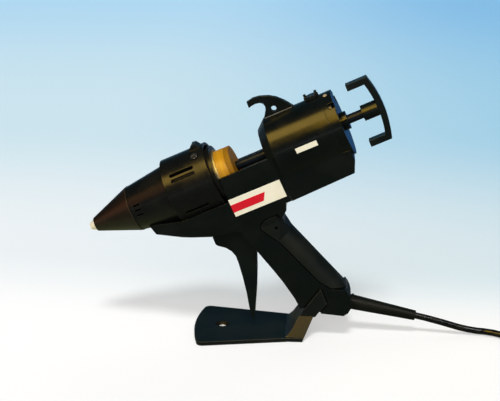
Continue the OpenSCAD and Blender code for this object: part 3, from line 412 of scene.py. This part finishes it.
def stand_finish():
    material = hard_finish(
        "stand_paint", (0.003, 0.0048, 0.0046), (0.005, 0.0075, 0.0075), (0.075, 0.07, 0.052),
        gloss=(0.36, 0.48), specular=0.22, edge_radius=0.0008, grain_size=420.0,
        grain_depth=0.00003)
    tree = material.node_tree
    shader = tree.nodes["Principled BSDF"]
    painted = shader.inputs["Base Color"].links[0].from_socket
    paint_gloss = shader.inputs["Roughness"].links[0].from_socket
    # Painted shade: a dark ring round the bench hole, which is also made dull
    hole_shade_ring = round_mask(tree, reach=0.0074, soft=0.0012)
    # Painted highlight: the pale wall inside the bench hole
    hole_glint_mask = round_mask(tree, reach=0.0034, soft=0.0002)
    hole_shaded = blend_colours(tree, hole_shade_ring, painted, (0.0012, 0.0012, 0.0012))
    hole_glinted = blend_colours(tree, hole_glint_mask, hole_shaded, (0.75, 0.74, 0.7))
    join(tree, hole_glinted, shader.inputs["Base Color"])
    dull = remap(tree, hole_shade_ring, 0.0, 1.0, high=0.68, curve="LINEAR")
    join(tree, calc(tree, "MAXIMUM", paint_gloss, dull), shader.inputs["Roughness"])
    return material


stand_paint = stand_finish()
print("finish:", stand_paint.name)

# %% [markdown]
# ## Screws, hot parts and the lead's sheath
# The nose's warm brown colour is a painted reflection, and its lighter rim a painted highlight.
# The cast chamber that shows through the collar's slots is painted near black and dull as the
# shade inside them. The screws on the barrel are blackened. The lead's sheath is a shiny plastic
# with a slightly wavy skin, so its gloss comes and goes. The same recipe gives all four.

# %% Screw, chamber, nose and lead finishes
screw_black = hard_finish(
    "screw_black", (0.02, 0.021, 0.022), (0.035, 0.035, 0.035), (0.2, 0.2, 0.2),
    gloss=(0.2, 0.32), metal=0.5, specular=0.5)
# Painted shade: a near-black chamber for the dark inside of the collar's slots
chamber_painted_shade = hard_finish(
    "chamber_painted_shade", (0.006, 0.0055, 0.005), (0.016, 0.013, 0.01), (0.04, 0.036, 0.03),
    gloss=(0.6, 0.8), specular=0.1, grain_size=480.0, grain_depth=0.00006)
# Painted reflection: the warm brown base; painted highlight: the lighter tan rim
nose_painted_sheen = hard_finish(
    "nose_painted_sheen", (0.0085, 0.0052, 0.0034), (0.0125, 0.0078, 0.0048), (0.09, 0.065, 0.045),
    gloss=(0.3, 0.44), specular=0.28, edge_radius=0.0008, grain_size=420.0, grain_depth=0.00003)
sheath = hard_finish(
    "lead_sheath", (0.0022, 0.0028, 0.0026), (0.005, 0.0055, 0.0048), (0.01, 0.01, 0.01),
    gloss=(0.1, 0.6), specular=0.3, grain_size=260.0, grain_depth=0.0002, scuff_size=110.0)
print("finishes:", screw_black.name, chamber_painted_shade.name, nose_painted_sheen.name, sheath.name)

# %% [markdown]
# ## Dress the solids
# The record names a material slot for each solid. Every solid gets its finish from that slot, so
# a piece that is hidden inside is finished too. The few that look unlike the rest of their slot
# then get a finish of their own.

# %% Assign the finishes
for row in frame["record"]["subparts"]:
    mesh = nodes[row["node"]].data
    mesh.materials.clear()
    mesh.materials.append(finishes[row["material_slot"]])
own_finish = {
    "stand": stand_paint,
    "melt_chamber": chamber_painted_shade,
    "nose_cone": nose_painted_sheen,
    "dial": finishes["trigger_plastic"],
    "collar_screws": screw_black,
    "cap_screws": screw_black,
}
for name, finish in own_finish.items():
    nodes[name].data.materials[0] = finish

# %% [markdown]
# ## The mains lead
# The lead leaves the sleeve at the heel of the grip, sinks to the bench, runs along it and ends in
# a coil that lies just outside the picture, with its plug. The route repeats the solid's own
# points: a free run, a swing out and back onto the coil, the turns, which wind inwards and then out
# again on top, and a straight tail to the plug. A bevelled curve would do for one cable. A Geometry
# Nodes tree that sweeps a round profile along a path serves the springs and the hook's lips too.

# %% Measures of the lead: its diameter and exit in metres, its route in millimetres
lead_d = 0.0065
free_run = [(177, 22.65), (185.3, 20.95), (193.6, 19.24), (203, 17.2), (212, 14.9), (221, 12.5),
            (230, 9.9), (239, 7.4), (247, 5.7)]
lay_z = 3.5
coil_x, coil_r, coil_pitch = 358.0, 58.0, 7.1
coil_z, coil_step = 4.3, 7.3
# Counted in turns: where the coil climbs, how long that takes, and its end
coil_in, coil_climb, coil_turns = 4.5, 0.5, 9 + 1 / 12
turn_points = 48
swing_x, swing_share, swing_points = 256.0, 0.38, 6
swing_sum = ((coil_x - swing_x) ** 2 + coil_r ** 2) / 2 / coil_r
swing_turn = math.asin((coil_x - swing_x) / swing_sum)
swing_out = swing_share * swing_sum
swing_back = swing_sum - swing_out
tail_length, tail_turn, tail_points = 51.0, math.radians(30), 6
print("coil turns:", round(coil_turns, 2), "swing radii:", round(swing_out), round(swing_back))

# %% Route of the lead
def ease(a):
    a = min(max(a, 0.0), 1.0)
    return a * a * (3 - 2 * a)


def coil_point(t):
    radius = coil_r - coil_pitch * t if t < coil_in else coil_r + coil_pitch * (t - 2 * coil_in)
    turn = 2 * math.pi * t - math.pi / 2
    rise = coil_step * ease((t - coil_in + coil_climb / 2) / coil_climb)
    return Vector((coil_x + radius * math.cos(turn), radius * math.sin(turn), coil_z + rise))


def swing_height(i):
    return lay_z + (coil_z - lay_z) * (1 - i / swing_points) ** 2


lead_path = [Vector((x, 0.0, z)) for x, z in free_run]
for i in range(swing_points):
    a = swing_turn * i / swing_points
    lead_path.append(Vector((swing_x + swing_out * math.sin(a), -swing_out * (1 - math.cos(a)),
                             swing_height(i))))
for i in range(swing_points, 0, -1):
    a = swing_turn * i / swing_points
    lead_path.append(Vector((coil_x - swing_back * math.sin(a),
                             swing_back * (1 - math.cos(a)) - coil_r, swing_height(i))))
lead_path += [coil_point(i / turn_points) for i in range(int(coil_turns * turn_points))]
coil_end = coil_point(coil_turns)
tail = Vector((math.cos(tail_turn), math.sin(tail_turn), 0.0))
lead_path += [coil_end + tail * tail_length * i / tail_points for i in range(tail_points + 1)]
lead_path = [p / 1000 for p in lead_path]

# %% Tree that sweeps a tube
def sweep_tree():
    tree, entry, leave = new_group(
        "swept_tube", "GeometryNodeTree",
        {"Path": "Geometry", "Radius": "Float", "Sides": "Int", "Material": "Material"},
        {"Tube": "Geometry"})
    profile = add(tree, "GeometryNodeCurvePrimitiveCircle")
    join(tree, entry.outputs["Radius"], profile.inputs["Radius"])
    join(tree, entry.outputs["Sides"], profile.inputs["Resolution"])
    sweep = add(tree, "GeometryNodeCurveToMesh")
    sweep.inputs["Fill Caps"].default_value = True
    join(tree, entry.outputs["Path"], sweep.inputs["Curve"])
    join(tree, profile.outputs["Curve"], sweep.inputs["Profile Curve"])
    smooth = add(tree, "GeometryNodeSetShadeSmooth")
    join(tree, sweep.outputs["Mesh"], smooth.inputs["Geometry"])
    real = add(tree, "GeometryNodeRealizeInstances")
    join(tree, smooth.outputs["Geometry"], real.inputs["Geometry"])
    paint = add(tree, "GeometryNodeSetMaterial")
    join(tree, real.outputs["Geometry"], paint.inputs["Geometry"])
    join(tree, entry.outputs["Material"], paint.inputs["Material"])
    join(tree, paint.outputs["Geometry"], leave.inputs["Tube"])
    return tree


tube_tree = sweep_tree()
print("tree:", tube_tree.name)

# %% From a node tree to a plain mesh
def set_inputs(modifier, **values):
    for item in modifier.node_group.interface.items_tree:
        if item.item_type == "SOCKET" and item.in_out == "INPUT" and item.name in values:
            modifier[item.identifier] = values[item.name]


def to_mesh_piece(source, name):
    depsgraph = bpy.context.evaluated_depsgraph_get()
    mesh = bpy.data.meshes.new_from_object(source.evaluated_get(depsgraph))
    mesh.name = name
    piece = bpy.data.objects.new(name, mesh)
    scene.collection.objects.link(piece)
    bpy.data.objects.remove(source)
    return piece


def swept_piece(name, points, radius, sides, material):
    route = bpy.data.curves.new(name, "CURVE")
    route.dimensions = "3D"
    line = route.splines.new("POLY")
    line.points.add(len(points) - 1)
    for point, place in zip(line.points, points):
        point.co = (*place, 1.0)
    holder = bpy.data.objects.new(name + "_route", route)
    scene.collection.objects.link(holder)
    modifier = holder.modifiers.new("sweep", "NODES")
    modifier.node_group = tube_tree
    set_inputs(modifier, Radius=radius, Sides=sides, Material=material)
    return to_mesh_piece(holder, name)


print("sweep ready")

# %% Sweep the lead
lead = swept_piece("mains_lead", lead_path, radius=lead_d / 2, sides=16, material=sheath)
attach(lead, "gun")
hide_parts("cord", "cord_coil")
print("lead faces:", len(lead.data.polygons))

# %% [markdown]
# ## The slug
# The solid slug is a plain cylinder. The real one is cast, so its rims are rounded, and where it
# meets the piston behind it the two round rims make a fine groove. A Bevel modifier would round
# both rims alike. A profile turned about the barrel's axis gives each its own curve. Everything on
# the barrel is placed as in the CAD source, by its station behind the point of the nose and its
# height above the axis.

# %% Places on the barrel
barrel_root = Vector((-0.128, 0.0, 0.107))
along_barrel = Vector((math.cos(barrel_tilt), 0.0, math.sin(barrel_tilt)))
up_barrel = Vector((-math.sin(barrel_tilt), 0.0, math.cos(barrel_tilt)))


def in_barrel(station, up=0.0, across=0.0):
    """Point of the frame, from millimetres along, above and beside the barrel's axis."""
    return (barrel_root + (along_barrel * station + up_barrel * up) / 1000
            + Vector((0.0, across / 1000, 0.0)))


print("barrel runs from", [round(v, 3) for v in barrel_root])

# %% Turn the slug
def turned_piece(name, profile, sides, material):
    mesh = bpy.data.meshes.new(name)
    made = bmesh.new()
    rings = []
    for station, radius in profile:
        ring = []
        for k in range(sides):
            a = 2 * math.pi * k / sides
            place = in_barrel(station, up=radius * math.cos(a), across=-radius * math.sin(a))
            ring.append(made.verts.new(place))
        rings.append(ring)
    for first, second in zip(rings, rings[1:]):
        for k in range(sides):
            made.faces.new((first[k], first[(k + 1) % sides], second[(k + 1) % sides], second[k]))
    made.faces.new(rings[0])
    made.faces.new(rings[-1])
    bmesh.ops.recalc_face_normals(made, faces=made.faces)
    made.to_mesh(mesh)
    made.free()
    mesh.materials.append(material)
    piece = bpy.data.objects.new(name, mesh)
    scene.collection.objects.link(piece)
    return piece


slug_front, slug_middle, slug_back, slug_r = 109.0, 130.0, 152.0, 21.5
# Each point of a rim: how far it lies from the slug's end, and how far below the full radius
front_rim = ((0.0, 2.0), (0.3, 0.8), (1.2, 0.1), (2.0, 0.0))
back_rim = ((1.8, 0.0), (0.8, 0.3), (0.2, 0.9), (0.0, 1.5))
slug_profile = [(slug_front + reach, slug_r - drop) for reach, drop in front_rim]
slug_profile.append((slug_middle, slug_r))
slug_profile += [(slug_back - reach, slug_r - drop) for reach, drop in back_rim]
slug = turned_piece("cast_slug", slug_profile, sides=96, material=finishes["glue"])
for face in slug.data.polygons:
    face.use_smooth = len(face.vertices) == 4
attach(slug, "plunger")
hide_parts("slug")
print("slug faces:", len(slug.data.polygons))

# %% [markdown]
# ## Springs
# Two springs sit inside: one holds the valve ball on its seat, and one pushes the drive bar back.
# A spring is a wire along a helix, so the sweep that made the lead serves again with another path.
# The drive spring is squeezed between its two ends when the trigger is pulled.

# %% Wind the springs
def helix(start, length, radius, curls, curl_points=24):
    points = []
    steps = curls * curl_points
    for i in range(steps + 1):
        a = 2 * math.pi * i / curl_points
        points.append(in_barrel(start + length * i / steps, up=-radius * math.cos(a),
                                across=radius * math.sin(a)))
    return points


valve_path = helix(start=9.7, length=45.8, radius=3.0, curls=16)
drive_path = helix(start=200.6, length=25.3, radius=7.0, curls=9)
valve_coil = swept_piece("valve_coil", valve_path, radius=0.0004, sides=10,
                         material=finishes["bright_steel"])
drive_coil = swept_piece("drive_coil", drive_path, radius=0.0007, sides=12,
                         material=finishes["bright_steel"])
for piece, node in ((valve_coil, "valve_spring"), (drive_coil, "drive_spring")):
    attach(piece, "gun")
    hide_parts(node)
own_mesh(drive_coil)
print("spring faces:", len(valve_coil.data.polygons), len(drive_coil.data.polygons))

# %% [markdown]
# ## Knurl of the dial
# Fine ribs round the dial give the thumb some hold. They repeat round a circle, which is what
# instances are for: one small rib stands on every point of a ring, and the instances are made real
# at the end.

# %% Knurl tree
def knurl_tree():
    tree, entry, leave = new_group(
        "dial_knurl", "GeometryNodeTree",
        {"Count": "Int", "Radius": "Float", "Rib": "Float", "Height": "Float",
         "Material": "Material"},
        {"Ribs": "Geometry"})
    ring = add(tree, "GeometryNodeMeshCircle")
    join(tree, entry.outputs["Count"], ring.inputs["Vertices"])
    join(tree, entry.outputs["Radius"], ring.inputs["Radius"])
    rib = add(tree, "GeometryNodeMeshCylinder")
    rib.inputs["Vertices"].default_value = 8
    join(tree, entry.outputs["Rib"], rib.inputs["Radius"])
    join(tree, entry.outputs["Height"], rib.inputs["Depth"])
    spots = add(tree, "GeometryNodeInstanceOnPoints")
    join(tree, ring.outputs["Mesh"], spots.inputs["Points"])
    join(tree, rib.outputs["Mesh"], spots.inputs["Instance"])
    real = add(tree, "GeometryNodeRealizeInstances")
    join(tree, spots.outputs["Instances"], real.inputs["Geometry"])
    paint = add(tree, "GeometryNodeSetMaterial")
    join(tree, real.outputs["Geometry"], paint.inputs["Geometry"])
    join(tree, entry.outputs["Material"], paint.inputs["Material"])
    join(tree, paint.outputs["Geometry"], leave.inputs["Ribs"])
    return tree


blank = bpy.data.objects.new("dial_blank", bpy.data.meshes.new("dial_blank"))
scene.collection.objects.link(blank)
knurl_modifier = blank.modifiers.new("knurl", "NODES")
knurl_modifier.node_group = knurl_tree()
set_inputs(knurl_modifier, Count=40, Radius=0.007, Rib=0.00032, Height=0.0028,
           Material=finishes["trigger_plastic"])
knurl = to_mesh_piece(blank, "dial_knurl")
dial_middle = in_barrel(station=250.3, up=34.3)
knurl.data.transform(Matrix.Translation(dial_middle) @ Matrix.Rotation(-barrel_tilt, 4, "Y"))
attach(knurl, "dial")
print("knurl faces:", len(knurl.data.polygons))

# %% [markdown]
# ## Lip at the foot of the hook
# The hook stands in a slot of the rear housing, and the slot has a raised lip on each side, painted
# pale as a highlight along it. It is a straight bead half sunk in the round housing, so the sweep
# makes it from three points on a line.

# %% Lip of the hook's slot
# Painted highlight: the lip's pale colour
lip_painted_highlight = hard_finish(
    "lip_painted_highlight", (0.06, 0.062, 0.058), (0.11, 0.108, 0.1), (0.2, 0.19, 0.17), gloss=(0.35, 0.5),
    specular=0.25, scuff_size=160.0)
housing_front, housing_r, hook_half = 199.8, 33.0, 2.5
lip_r, lip_gap, lip_lift = 0.55, 0.5, 0.1
lip_reaches = (2.0, 16.0, 30.0)
lip_out = hook_half + lip_gap
lip_up = math.sqrt(housing_r ** 2 - lip_out ** 2) + lip_lift
for name, side in (("hook_lip_near", -1), ("hook_lip_far", 1)):
    line = [in_barrel(housing_front + reach, lip_up, side * lip_out) for reach in lip_reaches]
    lip = swept_piece(name, line, radius=lip_r / 1000, sides=10, material=lip_painted_highlight)
    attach(lip, "gun")
    print(name, "faces:", len(lip.data.polygons))

# %% [markdown]
# ## Floor
# The object stands on a white sweep that turns pale blue with distance, more so on the right. A
# painted floor alone would come out grey, and a lit one would take no shadow. This one is half
# painted and half lit for the camera and for reflections, so it stays white and still takes a soft
# shadow.

# %% Colours of the floor
far_left, far_right = (0.425, 0.68, 0.88), (0.235, 0.505, 0.79)


def colour_ramp(tree, value, stops, curve="LINEAR"):
    made = add(tree, "ShaderNodeValToRGB")
    made.color_ramp.interpolation = curve
    points = made.color_ramp.elements
    while len(points) < len(stops):
        points.new(0.5)
    for point, (at, colour) in zip(points, stops):
        point.position = at
        point.color = (*colour, 1.0)
    join(tree, value, made.inputs["Fac"])
    return made.outputs["Color"]


def floor_tone(tree):
    place = add(tree, "ShaderNodeTexCoord")
    axes = add(tree, "ShaderNodeSeparateXYZ")
    join(tree, place.outputs["Object"], axes.inputs["Vector"])
    depth = remap(tree, axes.outputs["Y"], start=0.0, stop=2.4, curve="LINEAR")
    left = colour_ramp(tree, depth, [
        (0.0, (1.0, 1.0, 1.0)), (0.09, (0.83, 0.88, 0.91)), (0.35, (0.59, 0.765, 0.855)),
        (1.0, far_left)], curve="EASE")
    right = colour_ramp(tree, depth, [
        (0.0, (0.97, 0.97, 0.95)), (0.07, (0.64, 0.77, 0.82)), (0.35, (0.335, 0.605, 0.79)),
        (1.0, far_right)], curve="EASE")
    across = remap(tree, axes.outputs["X"], start=-0.35, stop=0.6)
    return blend_colours(tree, across, left, right)


print("far colours:", far_left, far_right)

# %% Floor material
def floor_material(lit_share=0.46):
    material, tree, out = bare_material("pale_sweep")
    tone = floor_tone(tree)
    half = add(tree, "ShaderNodeMix", data_type="RGBA", blend_type="MULTIPLY")
    half.inputs[0].default_value = 1.0
    half.inputs[7].default_value = (0.5, 0.5, 0.5, 1.0)
    join(tree, tone, half.inputs[6])
    paint = add(tree, "ShaderNodeBsdfDiffuse")
    join(tree, half.outputs[2], paint.inputs["Color"])
    ray = add(tree, "ShaderNodeLightPath").outputs
    seen = calc(tree, "MAXIMUM", ray["Is Camera Ray"], ray["Is Glossy Ray"])
    seen = calc(tree, "MAXIMUM", seen, ray["Is Transmission Ray"])
    glow = add(tree, "ShaderNodeEmission")
    join(tree, tone, glow.inputs["Color"])
    join(tree, calc(tree, "MULTIPLY", seen, lit_share), glow.inputs["Strength"])
    total = add(tree, "ShaderNodeAddShader")
    join(tree, paint.outputs["BSDF"], total.inputs[0])
    join(tree, glow.outputs["Emission"], total.inputs[1])
    join(tree, total.outputs["Shader"], out.inputs["Surface"])
    return material


pale_sweep = floor_material()
print("floor material:", pale_sweep.name)

# %% Floor
floor_r, floor_sides, floor_z = 9, 96, -0.0002


def flat_piece(name, corners, material):
    mesh = bpy.data.meshes.new(name)
    mesh.from_pydata(corners, [], [tuple(range(len(corners)))])
    mesh.materials.append(material)
    piece = bpy.data.objects.new(name, mesh)
    scene.collection.objects.link(piece)
    piece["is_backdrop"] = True
    return piece


turns = [math.tau * k / floor_sides for k in range(floor_sides)]
disc = [(floor_r * math.cos(a), floor_r * math.sin(a), floor_z) for a in turns]
flat_piece("floor", disc, pale_sweep)
print("floor radius:", floor_r, "m")

# %% [markdown]
# ## Lamps, cards and flags
# Three soft suns give plain, even light from above, in front and behind. Black plastic shows mostly
# what it reflects, so cards that only reflections can see put the warm and the cool streaks on it,
# as reflectors do in a studio. Dark cards on the floor, which photographers call flags, keep the
# white sweep out of its flat sides.

# %% Lamps
def sun(name, direction, strength, spread):
    data = bpy.data.lights.new(name, "SUN")
    data.energy = strength
    data.angle = math.radians(spread)
    lamp = bpy.data.objects.new(name, data)
    lamp.rotation_euler = Vector(direction).to_track_quat("Z", "Y").to_euler()
    lamp.visible_glossy = False
    scene.collection.objects.link(lamp)


sun("overhead", (0.0, -0.45, 0.89), strength=2.15, spread=13)
sun("front_fill", (-0.25, -0.9, 0.4), strength=1.35, spread=60)
sun("rear_fill", (0.35, 0.85, 0.4), strength=0.7, spread=60)
print("suns:", len(bpy.data.lights))

# %% Cards round the gun
gun_middle = Vector((0.02, 0.0, 0.15))


def reflected_card(name, corners, colour, strength=1.0):
    """Glowing card that reflections alone can see."""
    material, tree, out = bare_material(name)
    glow = add(tree, "ShaderNodeEmission")
    feed(tree, colour, glow.inputs["Color"])
    feed(tree, strength, glow.inputs["Strength"])
    join(tree, glow.outputs["Emission"], out.inputs["Surface"])
    piece = flat_piece(name, corners, material)
    piece.visible_camera = False
    piece.visible_diffuse = False
    piece.visible_shadow = False
    piece.visible_transmission = False


def round_barrel(lean, turn):
    """Direction that leans along the barrel and turns about it, both in degrees."""
    lean, turn = math.radians(lean), math.radians(turn)
    out = Vector((0.0, math.cos(turn), 0.0)) + up_barrel * math.sin(turn)
    return along_barrel * math.sin(lean) + out * math.cos(lean)


def card(name, away, distance, wide, high, colour, strength):
    """Card that faces the gun from a direction, with its width along the barrel."""
    side = (along_barrel - away * along_barrel.dot(away)).normalized()
    up = side.cross(away)
    middle = gun_middle + away * distance
    corners = [tuple(middle + side * wide * i / 2 + up * high * j / 2)
               for i, j in ((-1, -1), (1, -1), (1, 1), (-1, 1))]
    reflected_card(name, corners, colour, strength)


card("gold_card", round_barrel(lean=-7, turn=122), distance=1.2, wide=0.66, high=0.6,
     colour=(1.0, 0.66, 0.12), strength=10.5)
card("rust_card", round_barrel(lean=-46, turn=127), distance=1.2, wide=0.7, high=0.7,
     colour=(1.0, 0.34, 0.14), strength=1.3)
card("wing_card", Vector((-0.05, -0.8, 0.6)).normalized(), distance=1.0, wide=0.3, high=0.3,
     colour=(1.0, 0.6, 0.03), strength=24.0)
card("lead_card", Vector((0.46, -0.6, 0.655)).normalized(), distance=0.87, wide=0.4, high=0.1,
     colour=(1.0, 1.0, 1.0), strength=30.0)

# %% Flags and cards on the floor
def floor_card(name, x, y, colour, lift=0.001):
    """Card that lies on the floor and replaces it in reflections."""
    corners = [(x[0], y[0], lift), (x[1], y[0], lift), (x[1], y[1], lift), (x[0], y[1], lift)]
    reflected_card(name, corners, colour)


floor_card("front_flag", x=(-1.5, 1.5), y=(-2.0, -0.12), colour=(0.13, 0.15, 0.1))
floor_card("nose_flag", x=(-1.5, -0.03), y=(-0.12, 0.08), colour=(0.38, 0.43, 0.2))
floor_card("near_flag", x=(-0.03, 1.5), y=(-0.12, 0.08), colour=(0.15, 0.17, 0.1))
floor_card("back_flag", x=(-3.0, 1.2), y=(0.08, 3.0), colour=(0.03, 0.045, 0.055))
floor_card("rear_card", x=(-0.35, 0.22), y=(0.25, 1.2), colour=(0.9, 0.95, 0.92), lift=0.0015)
floor_card("blue_card", x=(0.22, 1.2), y=(0.5, 2.6), colour=(0.03, 0.11, 0.28), lift=0.0015)

# %% [markdown]
# ## Sky
# The world is three skies in one, picked by the kind of ray. Reflections see a cool glow behind the
# object that fades upwards, to the front and to the sides. Diffuse light is plain and a little
# warm, which warms the shadow. Past the floor's rim a low camera sees the floor's own far colours,
# so no horizon shows.

# %% Sky for reflections
world = bpy.data.worlds.new("studio")
scene.world = world
world.use_nodes = True
sky = world.node_tree
sky.nodes.clear()


def background(colour, strength):
    made = add(sky, "ShaderNodeBackground")
    feed(sky, colour, made.inputs["Color"])
    feed(sky, strength, made.inputs["Strength"])
    return made.outputs["Background"]


where = add(sky, "ShaderNodeTexCoord")
split = add(sky, "ShaderNodeSeparateXYZ")
join(sky, where.outputs["Generated"], split.inputs["Vector"])
heading = split.outputs
fade = colour_ramp(sky, heading["Z"], [
    (0.0, (0.28, 0.47, 0.68)), (0.2, (0.012, 0.095, 0.14)), (0.9, (0.03, 0.045, 0.06))])
dimmed = remap(sky, heading["Y"], start=-0.3, stop=0.5, low=0.12)
for dim_edge, full_edge in ((0.3, 0.05), (-0.6, -0.35)):
    beside = remap(sky, heading["X"], start=dim_edge, stop=full_edge, low=0.15)
    dimmed = calc(sky, "MULTIPLY", dimmed, beside)
mirrored_sky = background(fade, dimmed)
print("sky nodes so far:", len(sky.nodes))

# %% Sky for diffuse light and for the camera
lighting_sky = background((1.0, 0.95, 0.84), 0.25)
aside = remap(sky, heading["X"], start=-0.04, stop=0.067)
onward = remap(sky, heading["Y"], start=0.0, stop=0.27, curve="LINEAR")
far_tone = blend_colours(sky, aside, far_left, far_right)
seen_sky = background(blend_colours(sky, onward, (1.0, 1.0, 1.0), far_tone), 0.97)
ray = add(sky, "ShaderNodeLightPath").outputs
chosen = mirrored_sky
for kind, other in (("Is Diffuse Ray", lighting_sky), ("Is Camera Ray", seen_sky)):
    pick = add(sky, "ShaderNodeMixShader")
    join(sky, ray[kind], pick.inputs["Fac"])
    join(sky, chosen, pick.inputs[1])
    join(sky, other, pick.inputs[2])
    chosen = pick.outputs["Shader"]
end = add(sky, "ShaderNodeOutputWorld")
join(sky, chosen, end.inputs["Surface"])
print("sky nodes:", len(sky.nodes))

# %% [markdown]
# ## Close
# The boxes of the solids and of the dressed model are measured, and for each corner the largest
# difference between them is printed. The dressed model may not outgrow the solids.

# %% Print the sizes and finish
visual_box = [list(corner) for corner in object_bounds()]
grown = [round(max(abs(a - b) for a, b in zip(u, v)), 4) for u, v in zip(cad_box, visual_box)]
print("grown by", grown)
